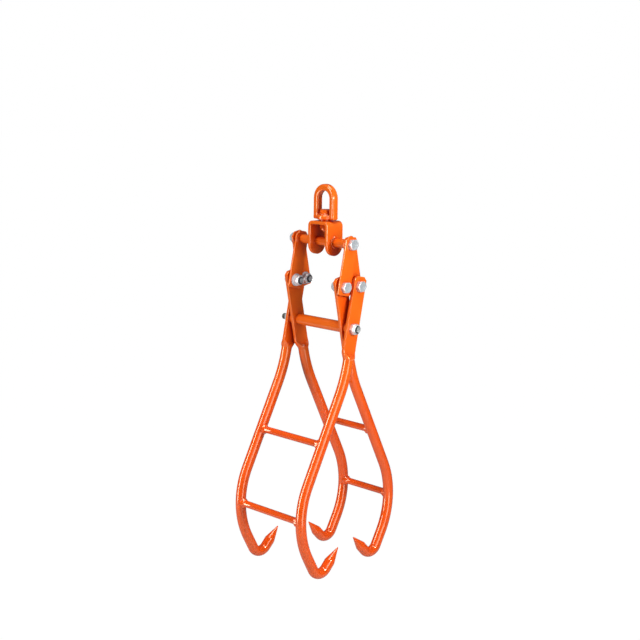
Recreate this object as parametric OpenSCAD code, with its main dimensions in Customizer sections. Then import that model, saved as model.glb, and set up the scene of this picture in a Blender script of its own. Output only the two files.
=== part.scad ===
// Four-claw log lifting tongs.
// Two crossed frames of forged bars hang on links from a swivelling eye. The links and the
// frames' upper ends form a rhombus, so the weight of a log pulls the claws together.
// X is the opening direction, Y runs along the log and Z is up. The origin is the inside top
// of the lifting eye, where a hoist hook bears. The tongs are drawn hanging closed. The eye and
// the yoke sit in the middle of the crosstube.

/* [Linkage] */
// Distance between the two pivots of a link, and of a frame's upper end
pivot_pitch = 80; // [78:1:110]
// Thickness of the links
link_t = 4; // [3:0.5:8]
// Width of a link
link_w = 31; // [27:1:31]
// Length of a link beyond its top pivot
link_head = 14.5; // [13:0.5:20]
// Length of a link beyond its lower pivot
link_tail = 15.5; // [15:0.5:20]
// Corner cut at a link's top end
link_cut = 8; // [3:0.5:10]
// Corner radius at a link's lower end
link_corner_r = 3; // [1:0.5:6]
// Gap between a pivot bolt's head and the edge of the bar beside it, at rest
rest_gap = 6.3; // [6.2:0.1:9]
// Gap between neighbouring pieces that turn on each other
play = 0.3; // [0.2:0.05:0.5]

/* [Bars] */
// Diameter of the round bars
bar_d = 20; // [16:1:24]
// Thickness of a bar's flattened end
flat_t = 6.5; // [4:0.5:8]
// Width of a bar's flattened end
flat_w = 31; // [27:1:31]
// Length of the flattened end above the link pivot
flat_head = 18.5; // [16:0.5:24]
// Length of the flattened end below the main pivot
flat_tail = 42.5; // [38:0.5:60]
// Corner cut at the top of the flattened end
flat_cut = 6; // [2:0.5:8]
// Length over which the flattened end runs into the round bar
neck_len = 19.5; // [12:0.5:26]
// Gap between the round bars of the two frames where they pass each other
bar_gap = 1.9; // [0.6:0.1:4]
// Centreline radius of the outward bend
upper_bend_r = 260; // [120:10:400]
// Angle of the outward bend
upper_bend_angle = 15; // [8:1:20]
// Length of the straight shank
shank_len = 175; // [120:1:240]
// Centreline radius of the belly that holds the log
belly_r = 150; // [110:1:220]
// Angle of the belly
belly_angle = 55; // [46:1:58]
// Length of the straight end below the belly
lower_len = 30; // [20:1:60]

/* [Claws] */
// Centreline radius of the claw's bend
claw_bend_r = 20; // [16:1:30]
// Angle of the claw's bend
claw_bend_angle = 108; // [90:1:115]
// Length of the claw's straight stub
claw_stub = 16; // [10:1:30]
// Length of the claw's conical point
point_len = 31; // [20:1:45]
// Diameter of the claw's blunt tip
tip_d = 1.6; // [1:0.2:4]

/* [Frames] */
// Clear width between the flattened ends of the inner frame
frame_gap = 125.6; // [110:1:180]
// Diameter of the welded rungs
rung_d = 13; // [8:0.5:16]
// Distance of the upper rung along the straight shank
upper_rung_at = 94.5; // [30:1:110]
// Angle of the lower rung along the belly
lower_rung_angle = 26; // [10:1:40]
// Outer diameter of the crosstube
tube_d = 17.2; // [16:0.2:20]
// Outer diameter of the spacer tube
spacer_d = 21; // [16:0.2:21.4]

/* [Fasteners] */
// Diameter of the pivot bolts and of the main pivot rod
bolt_d = 12; // [10:1:12]
// Width across flats of bolt heads and nuts
hex_af = 19; // [18.8:0.1:20]
// Height of a bolt head
head_h = 7.5; // [6:0.5:10]
// Height of a nut's hexagon
nut_h = 8.5; // [7:0.5:12]
// Diameter of a lock nut's collar
collar_d = 17; // [15:0.5:17]
// Height of a lock nut's collar
collar_h = 3; // [2:0.5:5]
// Length of thread beyond a nut
thread_out = 2.5; // [1:0.5:6]
// Length of the main pivot rod beyond its back nut
rod_out = 10; // [1:0.5:14]
// Depth of the corner chamfer on heads and nuts
hex_chamfer = 1.6; // [0.5:0.1:2]
// Outer diameter of a washer
washer_d = 24; // [22:1:26]
// Thickness of a washer
washer_t = 2.5; // [1.5:0.5:4]
// Radial clearance of a bolt in the piece that turns on it
pivot_clear = 0.05; // [0.02:0.01:0.1]
// Radial clearance of the main pivot rod in the inner frame
main_clear = 0.4; // [0.3:0.05:0.8]

/* [Yoke] */
// Width of the yoke's strip
yoke_w = 40; // [30:1:50]
// Thickness of the yoke's strip
yoke_t = 6; // [4:0.5:8]
// Outer span across the yoke's legs
yoke_span = 52; // [44:1:60]
// Height of the yoke's top above the crosstube's axis
yoke_rise = 39; // [34:1:50]
// Depth of the yoke's legs below the crosstube's axis
yoke_drop = 25.5; // [20:0.5:27]
// Outer radius of the yoke's two bends
yoke_bend_r = 10; // [7:0.5:14]
// Leg length of the weld between crosstube and yoke
weld_leg = 3; // [1:0.5:5]

/* [Lifting eye] */
// Outer width of the eye
eye_w = 54.4; // [48:0.5:80]
// Width of the eye's section, seen from the front
eye_bar = 12.4; // [8:0.5:16]
// Thickness of the eye
eye_t = 14; // [10:0.5:20]
// Radius of the eye's long edges
eye_edge_r = 3.5; // [1:0.5:4.5]
// Height of the opening inside the eye
eye_opening_h = 45; // [38:0.5:70]
// Thickness of the eye's base
eye_base_t = 9; // [7:0.5:14]
// Diameter of the eye's round base pad
eye_pad_d = 32; // [28:1:40]
// Radius of the eye's two lower corners
eye_corner_r = 5; // [2:0.5:8]
// Thickness of the thrust washer between eye and yoke
thrust_t = 2; // [1:0.5:3]

/* [Hidden] */

$fn = 96;
hull_fn = 32;

orange = [0.90, 0.30, 0.05];
zinc = [0.78, 0.79, 0.80];
dark = [0.20, 0.21, 0.20];

// One overrun for every cut, and a thin slice for the ends of a blend
cut = 1;
slice = 0.2;
// A bar's straights are a hair thinner than its bends and run into them by a short lap
hair = 0.15;
lap = 0.5;

// The rhombus: at rest the bolt heads stand rest_gap away from the bars' edges
rest_angle = asin((flat_w / 2 + hex_af / 2 + rest_gap) / pivot_pitch) / 2;

// Heights on the centre line
eye_inner_r = eye_w / 2 - eye_bar;
eye_base_top = -eye_opening_h;
eye_bottom = eye_base_top - eye_base_t;
yoke_top = eye_bottom - thrust_t - play;
top_z = yoke_top - yoke_rise;
link_z = top_z - pivot_pitch * cos(rest_angle);
main_z = link_z - pivot_pitch * cos(rest_angle);
link_x = pivot_pitch * sin(rest_angle);

// Planes across the tongs. At the front they are, from the middle outwards: the inner frame, the
// right link, the left link and the outer frame.
inner_y = frame_gap / 2;
inner_out_y = inner_y + flat_t;
right_link_y = inner_out_y + play;
left_link_y = right_link_y + link_t + play;
outer_y = left_link_y + link_t + play;
outer_out_y = outer_y + flat_t;
// At the back the left link is innermost, and the right link lies beside the inner frame.
back_left_link_y = inner_y - play - washer_t - link_t;
back_right_link_y = inner_out_y - link_t;
// The yoke sits in the middle of the crosstube, and the frames' middle plane lies behind it
middle_y = (inner_out_y - back_left_link_y + play) / 2;
// Distance of a bar's axis from that face of its flattened end which looks to the other frame
bar_axis = (bar_d + bar_gap - (outer_y - inner_out_y)) / 2;

// Radii of the holes
hole_r = bolt_d / 2 + pivot_clear;
main_hole_r = bolt_d / 2 + main_clear;
nut_total = nut_h + collar_h;

// Points of the bar's centreline, measured along and outwards from the main pivot
neck_end = [flat_tail + neck_len, 0];
shank_start = arc_end(neck_end, 0, upper_bend_r, upper_bend_angle);
shank_end = shank_start + shank_len * heading(upper_bend_angle);
upper_rung = shank_start + upper_rung_at * heading(upper_bend_angle);
lower_rung = arc_end(shank_end, upper_bend_angle, belly_r, -lower_rung_angle);
belly_end = arc_end(shank_end, upper_bend_angle, belly_r, -belly_angle);
lower_angle = upper_bend_angle - belly_angle;
weld_end = belly_end + lower_len * heading(lower_angle);
stub_start = arc_end(weld_end, lower_angle, claw_bend_r, -claw_bend_angle);
stub_angle = lower_angle - claw_bend_angle;

function heading(a) = [cos(a), sin(a)];
function normal(a) = [-sin(a), cos(a)];
function arc_centre(p, a, r, turn) = p + sign(turn) * r * normal(a);
function arc_end(p, a, r, turn) = arc_centre(p, a, r, turn) - sign(turn) * r * normal(a + turn);

// Placing

// Place the children about the frames' middle plane, mirrored to the front or left at the back
module on_side(front) {
    translate([0, middle_y, 0]) {
        if (front)
            mirror([0, 1, 0]) children();
        else
            children();
    }
}

// Local X runs down along a link or bar, local Y outwards and local Z along +Y
module hang(x, y, z) {
    translate([x, y, z])
        rotate([0, 90 + rest_angle, 0])
            rotate([-90, 0, 0])
                children();
}

module left_link_place(y) {
    hang(0, y, top_z) children();
}

module right_link_place(y) {
    mirror([1, 0, 0]) hang(0, y, top_z) children();
}

// Local Z leads outwards from the inner face of the outer frame's flattened ends
module outer_frame_place(front) {
    on_side(front) hang(0, outer_y, main_z) children();
}

// Local Z leads inwards from the outer face of the inner frame's flattened ends
module inner_frame_place(front) {
    mirror([1, 0, 0])
        on_side(front)
            translate([0, inner_out_y, 0])
                mirror([0, 1, 0])
                    hang(0, 0, main_z) children();
}

// A bolt, nut or washer on an axis along Y: local Z points to the front or to the back
module along_front(x, y, z) {
    translate([x, y, z]) rotate([90, 0, 0]) children();
}

module along_back(x, y, z) {
    translate([x, y, z]) rotate([-90, 0, 0]) children();
}

// Flat outlines

module cut_corner_strip(x0, x1, w, c) {
    polygon([[x0 + c, -w / 2], [x1, -w / 2], [x1, w / 2], [x0 + c, w / 2],
        [x0, w / 2 - c], [x0, -w / 2 + c]]);
}

module round_rect(w, h, r) {
    square([w, h - 2 * r], center = true);
    square([w - 2 * r, h], center = true);
    for (sx = [-1, 1], sy = [-1, 1])
        translate([sx * (w / 2 - r), sy * (h / 2 - r)]) circle(r = r);
}

// Links

module link_plate() {
    color(orange)
        linear_extrude(height = link_t)
            difference() {
                union() {
                    cut_corner_strip(-link_head, pivot_pitch + link_tail - link_corner_r, link_w, link_cut);
                    translate([pivot_pitch, 0])
                        round_rect(2 * link_tail, link_w, link_corner_r);
                }
                circle(r = hole_r);
                translate([pivot_pitch, 0]) circle(r = hole_r);
            }
}

module link_left_front() {
    on_side(true) left_link_place(left_link_y) link_plate();
}

module link_left_back() {
    on_side(false) left_link_place(back_left_link_y) link_plate();
}

module link_right_front() {
    on_side(true) right_link_place(right_link_y) link_plate();
}

module link_right_back() {
    on_side(false) right_link_place(back_right_link_y) link_plate();
}

// Bars

// Put local Z along the bar's axis at a point of the centreline
module along_bar(p, a) {
    translate([p[0], p[1], bar_axis])
        rotate([0, 0, a])
            rotate([0, 90, 0])
                children();
}

module bar_straight(p, a, len, end_lap) {
    along_bar(p, a)
        translate([0, 0, -lap])
            cylinder(r = bar_d / 2 - hair, h = len + lap + end_lap);
}

module bar_arc(p, a, r, turn) {
    c = arc_centre(p, a, r, turn);
    translate([c[0], c[1], bar_axis])
        rotate([0, 0, turn > 0 ? a - 90 : a + 90 + turn])
            rotate_extrude(angle = abs(turn))
                translate([r, 0]) circle(d = bar_d);
}

module bar_shank() {
    bar_straight(shank_start, upper_bend_angle, shank_len, lap);
}

module bar_belly() {
    bar_arc(shank_end, upper_bend_angle, belly_r, -belly_angle);
}

// The round part of a bar, down to the weld of its claw
module bar_sweep() {
    bar_arc(neck_end, 0, upper_bend_r, upper_bend_angle);
    bar_shank();
    bar_belly();
    bar_straight(belly_end, lower_angle, lower_len, 0);
}

// The blend from the flattened end to the round bar
module bar_neck() {
    hull() {
        translate([flat_tail - slice, -flat_w / 2, 0])
            cube([slice, flat_w, flat_t]);
        along_bar(neck_end, 0)
            cylinder(r = bar_d / 2 - hair, h = slice, $fn = hull_fn);
    }
}

module bar_flat(main_r) {
    linear_extrude(height = flat_t)
        difference() {
            cut_corner_strip(-pivot_pitch - flat_head, flat_tail, flat_w, flat_cut);
            translate([-pivot_pitch, 0]) circle(r = hole_r);
            circle(r = main_r);
        }
}

module bar(main_r) {
    color(orange) {
        bar_flat(main_r);
        bar_neck();
        bar_sweep();
    }
}

module outer_bar_front() {
    outer_frame_place(true) bar(hole_r);
}

module outer_bar_back() {
    outer_frame_place(false) bar(hole_r);
}

module inner_bar_front() {
    inner_frame_place(true) bar(main_hole_r);
}

module inner_bar_back() {
    inner_frame_place(false) bar(main_hole_r);
}

// Claws: a tight bend, a short stub and a long point, forged from the same bar

module claw() {
    stub_r = bar_d / 2 - hair;
    color(orange) {
        bar_arc(weld_end, lower_angle, claw_bend_r, -claw_bend_angle);
        along_bar(stub_start, stub_angle)
            rotate_extrude()
                polygon([[0, -lap], [stub_r, -lap], [stub_r, claw_stub],
                    [tip_d / 2, claw_stub + point_len], [0, claw_stub + point_len]]);
    }
}

module outer_claw_front() {
    outer_frame_place(true) claw();
}

module outer_claw_back() {
    outer_frame_place(false) claw();
}

module inner_claw_front() {
    inner_frame_place(true) claw();
}

module inner_claw_back() {
    inner_frame_place(false) claw();
}

// Rungs: round rods coped to the bars that they are welded between. The child is the stretch
// of bar that the rung meets at either end.

module outer_rung(p) {
    half = outer_y + bar_axis;
    color(orange)
        difference() {
            outer_frame_place(false)
                translate([p[0], p[1], -outer_y - half])
                    cylinder(d = rung_d, h = 2 * half);
            outer_frame_place(true) children();
            outer_frame_place(false) children();
        }
}

module inner_rung(p) {
    half = inner_out_y - bar_axis;
    color(orange)
        difference() {
            inner_frame_place(false)
                translate([p[0], p[1], bar_axis])
                    cylinder(d = rung_d, h = 2 * half);
            inner_frame_place(true) children();
            inner_frame_place(false) children();
        }
}

module outer_upper_rung() {
    outer_rung(upper_rung) bar_shank();
}

module outer_lower_rung() {
    outer_rung(lower_rung) bar_belly();
}

module inner_upper_rung() {
    inner_rung(upper_rung) bar_shank();
}

module inner_lower_rung() {
    inner_rung(lower_rung) bar_belly();
}

// Fasteners, each drawn along local Z with its bearing face at zero

// A cylinder with chamfered ends, as wide as a hexagon's corners
module chamfer_envelope(h, bottom, top) {
    corner_r = hex_af / sqrt(3);
    rotate_extrude()
        polygon([[0, 0], [corner_r - bottom, 0], [corner_r, bottom / sqrt(3)],
            [corner_r, h - top / sqrt(3)], [corner_r - top, h], [0, h]]);
}

module hex_prism(h, bottom, top) {
    intersection() {
        cylinder(d = 2 * hex_af / sqrt(3), h = h, $fn = 6);
        chamfer_envelope(h, bottom, top);
    }
}

// Head below zero, shank of the given length above it
module hex_bolt(len) {
    mirror([0, 0, 1]) hex_prism(head_h, 0, hex_chamfer);
    rotate_extrude()
        polygon([[0, 0], [bolt_d / 2, 0], [bolt_d / 2, len - hex_chamfer / 2],
            [bolt_d / 2 - hex_chamfer / 2, len], [0, len]]);
}

module lock_nut() {
    difference() {
        union() {
            hex_prism(nut_h, hex_chamfer / 2, hex_chamfer);
            cylinder(d = collar_d, h = nut_total);
        }
        translate([0, 0, -cut]) cylinder(d = bolt_d, h = nut_total + 2 * cut);
    }
}

module flat_washer(h) {
    difference() {
        cylinder(d = washer_d, h = h);
        translate([0, 0, -cut]) cylinder(r = hole_r, h = h + 2 * cut);
    }
}

// Link pivots. The left bolts hold to the left links and the right bolts to the right links. A
// spacer fills the room between a link and the bar that turns on it.

front_left_bearing = left_link_y + link_t;
front_left_nut_y = inner_y - play;
back_left_bearing = inner_out_y + play;
back_left_nut_y = back_left_link_y;
right_bearing = outer_out_y + play;
front_right_nut_y = right_link_y;
back_right_nut_y = back_right_link_y;
outer_seat = outer_y - play;

// Local Z points from the front or the back towards the middle of the tongs
module at_link_pivot(x, y, front) {
    on_side(front) along_front(x, y, link_z) children();
}

module link_bolt(bearing, nut_face) {
    color(zinc) hex_bolt(bearing - nut_face + washer_t + nut_total + thread_out);
}

module link_spacer(h) {
    color(orange) flat_washer(h);
}

module link_washer() {
    color(zinc) flat_washer(washer_t);
}

module link_nut() {
    color(zinc) translate([0, 0, washer_t]) lock_nut();
}

module left_front_bolt() {
    at_link_pivot(-link_x, front_left_bearing, true) link_bolt(front_left_bearing, front_left_nut_y);
}

module left_back_bolt() {
    at_link_pivot(-link_x, back_left_bearing, false) link_bolt(back_left_bearing, back_left_nut_y);
}

module right_front_bolt() {
    at_link_pivot(link_x, right_bearing, true) link_bolt(right_bearing, front_right_nut_y);
}

module right_back_bolt() {
    at_link_pivot(link_x, right_bearing, false) link_bolt(right_bearing, back_right_nut_y);
}

module left_front_spacer() {
    at_link_pivot(-link_x, left_link_y, true) link_spacer(link_t + play);
}

module left_back_spacer() {
    at_link_pivot(-link_x, inner_y - play, false) link_spacer(washer_t);
}

module right_front_spacer() {
    at_link_pivot(link_x, outer_seat, true) link_spacer(link_t + play);
}

module right_back_spacer() {
    at_link_pivot(link_x, outer_seat, false) link_spacer(outer_seat - inner_out_y);
}

module left_front_washer() {
    at_link_pivot(-link_x, front_left_nut_y, true) link_washer();
}

module left_back_washer() {
    at_link_pivot(-link_x, back_left_nut_y, false) link_washer();
}

module right_front_washer() {
    at_link_pivot(link_x, front_right_nut_y, true) link_washer();
}

module right_back_washer() {
    at_link_pivot(link_x, back_right_nut_y, false) link_washer();
}

module left_front_nut() {
    at_link_pivot(-link_x, front_left_nut_y, true) link_nut();
}

module left_back_nut() {
    at_link_pivot(-link_x, back_left_nut_y, false) link_nut();
}

module right_front_nut() {
    at_link_pivot(link_x, front_right_nut_y, true) link_nut();
}

module right_back_nut() {
    at_link_pivot(link_x, back_right_nut_y, false) link_nut();
}

// Top pivot: a long bolt through the crosstube, fast to the yoke

top_head_y = outer_y;
top_seat_y = back_left_link_y + link_t + play;
top_washer_y = inner_out_y + play;
top_nut_y = top_washer_y + washer_t;

module top_pivot_bolt() {
    color(zinc)
        on_side(false)
            along_back(0, -top_head_y, top_z)
                hex_bolt(top_head_y + top_nut_y + nut_total + thread_out);
}

module top_back_spacer() {
    color(orange)
        on_side(false)
            along_back(0, top_seat_y, top_z) flat_washer(back_right_link_y - play - top_seat_y);
}

module top_pivot_washer() {
    color(zinc) on_side(false) along_back(0, top_washer_y, top_z) flat_washer(washer_t);
}

module top_pivot_nut() {
    color(zinc) on_side(false) along_back(0, top_nut_y, top_z) lock_nut();
}

module crosstube() {
    half = inner_out_y - middle_y;
    color(orange)
        difference() {
            union() {
                along_back(0, -half, top_z) cylinder(d = tube_d, h = 2 * half);
                for (side = [0, 1])
                    mirror([0, side, 0])
                        along_back(0, yoke_span / 2, top_z)
                            cylinder(d1 = tube_d + 2 * weld_leg, d2 = tube_d, h = weld_leg);
            }
            along_back(0, -half - cut, top_z) cylinder(r = hole_r, h = 2 * (half + cut));
        }
}

// Yoke: a strip bent into an inverted U, with rounded leg ends

module yoke_profile() {
    inner_r = yoke_bend_r - yoke_t;
    drop = yoke_rise + yoke_drop;
    translate([0, -drop / 2])
        difference() {
            union() {
                round_rect(yoke_span, drop, yoke_bend_r);
                translate([-yoke_span / 2, -drop / 2]) square([yoke_span, drop / 2]);
            }
            translate([0, -yoke_t]) {
                round_rect(yoke_span - 2 * yoke_t, drop, inner_r);
                translate([-yoke_span / 2 + yoke_t, -drop / 2 - cut])
                    square([yoke_span - 2 * yoke_t, drop / 2]);
            }
        }
}

module yoke() {
    leg_r = yoke_w / 2;
    leg_centre_z = top_z - yoke_drop + leg_r;
    color(orange)
        difference() {
            intersection() {
                translate([-yoke_w / 2, 0, yoke_top])
                    rotate([90, 0, 90])
                        linear_extrude(height = yoke_w) yoke_profile();
                union() {
                    along_back(0, -yoke_span / 2, leg_centre_z) cylinder(r = leg_r, h = yoke_span);
                    translate([-leg_r, -yoke_span / 2, leg_centre_z])
                        cube([yoke_w, yoke_span, yoke_top - leg_centre_z]);
                }
            }
            along_back(0, -yoke_span / 2 - cut, top_z)
                cylinder(d = tube_d, h = yoke_span + 2 * cut);
            translate([0, 0, yoke_top - yoke_t - cut])
                cylinder(r = hole_r, h = yoke_t + 2 * cut);
        }
}

// Lifting eye: a forged D with a flat base that turns on the swivel bolt

module eye_section() {
    round_rect(eye_bar, eye_t, eye_edge_r);
}

module lifting_eye() {
    mid_r = eye_inner_r + eye_bar / 2;
    arc_z = -eye_inner_r;
    side_h = arc_z - eye_bottom - eye_corner_r;
    color(orange)
        difference() {
            union() {
                translate([0, 0, arc_z])
                    rotate([90, 0, 90])
                        rotate_extrude(angle = 180)
                            translate([mid_r, 0]) eye_section();
                for (side = [-1, 1])
                    translate([0, side * mid_r, arc_z - side_h])
                        rotate([0, 0, 90])
                            linear_extrude(height = side_h) eye_section();
                translate([-eye_t / 2, 0, eye_bottom + eye_base_t / 2])
                    rotate([90, 0, 90])
                        linear_extrude(height = eye_t)
                            round_rect(eye_w, eye_base_t, min(eye_corner_r, eye_base_t / 2 - slice));
                translate([0, 0, eye_bottom]) cylinder(d = eye_pad_d, h = eye_base_t);
            }
            translate([0, 0, eye_bottom - cut])
                cylinder(d = bolt_d, h = eye_base_t + 2 * cut);
        }
}

swivel_nut_z = yoke_top - yoke_t - play;

module swivel_head_washer() {
    color(orange) translate([0, 0, eye_base_top]) flat_washer(washer_t);
}

module swivel_bolt() {
    bearing = eye_base_top + washer_t;
    color(orange)
        translate([0, 0, bearing])
            mirror([0, 0, 1])
                hex_bolt(bearing - swivel_nut_z + nut_total + thread_out);
}

module swivel_thrust_washer() {
    color(orange) translate([0, 0, eye_bottom - thrust_t]) flat_washer(thrust_t);
}

module swivel_nut() {
    color(orange) translate([0, 0, swivel_nut_z]) mirror([0, 0, 1]) lock_nut();
}

// Main pivot: a rod with a nut at either end through both frames, with a spacer tube between the inner bars

module spacer_tube() {
    color(orange)
        on_side(false)
            difference() {
                along_back(0, -inner_y, main_z) cylinder(d = spacer_d, h = frame_gap);
                along_back(0, -inner_y - cut, main_z) cylinder(r = main_hole_r, h = frame_gap + 2 * cut);
            }
}

module main_spacer(front) {
    color(orange)
        on_side(front) along_front(0, outer_y, main_z) flat_washer(2 * (link_t + play));
}

module main_front_spacer() {
    main_spacer(true);
}

module main_back_spacer() {
    main_spacer(false);
}

module main_pivot_rod() {
    front_end = outer_out_y + nut_total + thread_out;
    back_end = outer_out_y + nut_total + rod_out;
    bevel = hex_chamfer / 2;
    color(dark)
        on_side(false)
            along_back(0, -front_end, main_z)
                rotate_extrude()
                    polygon([[0, 0], [bolt_d / 2 - bevel, 0], [bolt_d / 2, bevel],
                        [bolt_d / 2, front_end + back_end - bevel],
                        [bolt_d / 2 - bevel, front_end + back_end], [0, front_end + back_end]]);
}

module main_front_nut() {
    color(zinc) on_side(false) along_front(0, -outer_out_y, main_z) lock_nut();
}

module main_back_nut() {
    color(zinc) on_side(false) along_back(0, outer_out_y, main_z) lock_nut();
}

lifting_eye();
swivel_bolt();
swivel_head_washer();
swivel_thrust_washer();
swivel_nut();
yoke();
crosstube();
top_pivot_bolt();
top_back_spacer();
top_pivot_washer();
top_pivot_nut();
link_left_front();
link_left_back();
link_right_front();
link_right_back();
left_front_bolt();
left_back_bolt();
right_front_bolt();
right_back_bolt();
left_front_spacer();
left_back_spacer();
right_front_spacer();
right_back_spacer();
left_front_washer();
left_back_washer();
right_front_washer();
right_back_washer();
left_front_nut();
left_back_nut();
right_front_nut();
right_back_nut();
outer_bar_front();
outer_bar_back();
inner_bar_front();
inner_bar_back();
outer_upper_rung();
outer_lower_rung();
inner_upper_rung();
inner_lower_rung();
outer_claw_front();
outer_claw_back();
inner_claw_front();
inner_claw_back();
spacer_tube();
main_front_spacer();
main_back_spacer();
main_pivot_rod();
main_front_nut();
main_back_nut();
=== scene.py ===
import math

import bmesh
import bpy
from mathutils import Matrix, Vector


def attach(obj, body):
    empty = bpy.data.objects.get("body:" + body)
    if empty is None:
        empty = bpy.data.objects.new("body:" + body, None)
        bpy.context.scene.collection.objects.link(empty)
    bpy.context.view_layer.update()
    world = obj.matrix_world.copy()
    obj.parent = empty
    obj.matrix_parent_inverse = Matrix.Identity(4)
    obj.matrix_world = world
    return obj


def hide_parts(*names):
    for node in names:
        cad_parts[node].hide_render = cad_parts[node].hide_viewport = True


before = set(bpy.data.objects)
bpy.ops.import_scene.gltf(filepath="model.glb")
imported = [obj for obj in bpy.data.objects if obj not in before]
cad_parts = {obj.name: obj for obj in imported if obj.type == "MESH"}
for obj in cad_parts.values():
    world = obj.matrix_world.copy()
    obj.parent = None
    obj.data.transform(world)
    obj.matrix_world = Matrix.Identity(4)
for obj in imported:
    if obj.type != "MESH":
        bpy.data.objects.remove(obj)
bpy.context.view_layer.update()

MM = 0.001

# Main sizes of the tongs in millimetres, as in the CAD source
PITCH = 80.0
LINK_T, LINK_W, LINK_HEAD, LINK_TAIL, LINK_CUT, LINK_CORNER = 4.0, 31.0, 14.5, 15.5, 8.0, 3.0
PLAY = 0.3
BAR_R = 10.0
FLAT_T, FLAT_W, FLAT_HEAD, FLAT_TAIL, FLAT_CUT = 6.5, 31.0, 18.5, 42.5, 6.0
NECK, BAR_GAP = 19.5, 1.9
UPPER_R, UPPER_ANGLE, SHANK = 260.0, 15.0, 175.0
BELLY_R, BELLY_ANGLE, LOWER_LEN = 150.0, 55.0, 30.0
CLAW_R, CLAW_ANGLE, CLAW_STUB, POINT_LEN, TIP_R = 20.0, 108.0, 16.0, 31.0, 0.8
FRAME_GAP = 125.6
RUNG_R, UPPER_RUNG_AT, LOWER_RUNG_ANGLE = 6.5, 94.5, 26.0
TUBE_R, SPACER_R = 8.6, 10.5
BOLT_R, HEX_AF, HEAD_H, NUT_H = 6.0, 19.0, 7.5, 8.5
COLLAR_R, COLLAR_H, THREAD_OUT, ROD_OUT = 8.5, 3.0, 2.5, 10.0
WASHER_R, WASHER_T, HOLE_R, MAIN_HOLE_R = 12.0, 2.5, 6.05, 6.4
YOKE_W, YOKE_T, YOKE_SPAN, YOKE_RISE, YOKE_DROP, YOKE_BEND = 40.0, 6.0, 52.0, 39.0, 25.5, 10.0
EYE_W, EYE_BAR, EYE_T, EYE_EDGE = 54.4, 12.4, 14.0, 3.5
EYE_OPEN, EYE_BASE, EYE_PAD_R = 45.0, 9.0, 16.0
THRUST_T = 2.0
REST_GAP = 6.3
REST = math.degrees(math.asin((FLAT_W / 2 + HEX_AF / 2 + REST_GAP) / PITCH)) / 2

EYE_BOTTOM = -EYE_OPEN - EYE_BASE
YOKE_TOP = EYE_BOTTOM - THRUST_T - PLAY
TOP_Z = YOKE_TOP - YOKE_RISE
LINK_Z = TOP_Z - PITCH * math.cos(math.radians(REST))
MAIN_Z = LINK_Z - PITCH * math.cos(math.radians(REST))
LINK_X = PITCH * math.sin(math.radians(REST))

INNER_Y = FRAME_GAP / 2
INNER_OUT = INNER_Y + FLAT_T
RIGHT_LINK_Y = INNER_OUT + PLAY
LEFT_LINK_Y = RIGHT_LINK_Y + LINK_T + PLAY
OUTER_Y = LEFT_LINK_Y + LINK_T + PLAY
OUTER_OUT = OUTER_Y + FLAT_T
BACK_LEFT_LINK_Y = INNER_Y - PLAY - WASHER_T - LINK_T
BACK_RIGHT_LINK_Y = INNER_OUT - LINK_T
MIDDLE_Y = (INNER_OUT - BACK_LEFT_LINK_Y + PLAY) / 2
BAR_AXIS = (2 * BAR_R + BAR_GAP - (OUTER_Y - INNER_OUT)) / 2

# Angles in degrees above which an edge is shaded sharp, on forged bars and on cut plates
FORGED_EDGE, CUT_EDGE = 28.0, 50.0
# Detail that the solids leave out: a hexagon's rim drops by the chamfer's share of its distance from the
# round face, the face and a nut's foot are shares of the half width, and the thread is in millimetres
HEX_CHAMFER, HEX_FACE, HEX_FOOT = 0.6, 0.93, 0.985
THREAD_PITCH, THREAD_DEPTH, THREAD_PLAY = 1.75, 0.55, 0.05


# Materials

def shader(name, base, rough, metal=0.0, coat=0.0):
    mat = bpy.data.materials.new(name)
    mat.use_nodes = True
    node = mat.node_tree.nodes["Principled BSDF"]
    node.inputs["Base Color"].default_value = (*base, 1)
    node.inputs["Roughness"].default_value = rough
    node.inputs["Metallic"].default_value = metal
    node.inputs["Coat Weight"].default_value = coat
    return mat, node


def add(mat, kind, **values):
    node = mat.node_tree.nodes.new(kind)
    for key, value in values.items():
        if hasattr(node, key):
            setattr(node, key, value)
        else:
            node.inputs[key].default_value = value
    return node


def link(mat, out, inp):
    mat.node_tree.links.new(out, inp)


def noise_node(mat, scale, detail):
    coords = add(mat, "ShaderNodeTexCoord")
    tex = add(mat, "ShaderNodeTexNoise")
    tex.inputs["Scale"].default_value = scale
    tex.inputs["Detail"].default_value = detail
    link(mat, coords.outputs["Object"], tex.inputs["Vector"])
    return tex


def ramp(mat, source, stops):
    node = add(mat, "ShaderNodeValToRGB")
    elements = node.color_ramp.elements
    elements[0].position, elements[0].color = stops[0][0], (*stops[0][1], 1)
    elements[1].position, elements[1].color = stops[-1][0], (*stops[-1][1], 1)
    for at, colour in stops[1:-1]:
        elements.new(at).color = (*colour, 1)
    link(mat, source, node.inputs["Fac"])
    return node


def bump(mat, shader_node, tex, strength, distance):
    node = add(mat, "ShaderNodeBump", Strength=strength, Distance=distance)
    link(mat, tex.outputs["Fac"], node.inputs["Height"])
    link(mat, node.outputs["Normal"], shader_node.inputs["Normal"])


def map_range(mat, source, **limits):
    """Maps a value between the given limits, which are named as on the node with underscores for spaces."""
    node = add(mat, "ShaderNodeMapRange")
    for key, value in limits.items():
        node.inputs[key.replace("_", " ")].default_value = value
    link(mat, source, node.inputs["Value"])
    return node.outputs["Result"]


def multiply(mat, first, second):
    node = add(mat, "ShaderNodeMix", data_type="RGBA", blend_type="MULTIPLY")
    node.inputs["Factor"].default_value = 1.0
    link(mat, first, node.inputs["A"])
    link(mat, second, node.inputs["B"])
    return node.outputs["Result"]


WHITE = (1, 1, 1)
ORANGE_DEEP, ORANGE_MAIN, ORANGE_PALE = (0.81, 0.126, 0.006), (0.84, 0.136, 0.007), (0.87, 0.150, 0.009)
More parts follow.
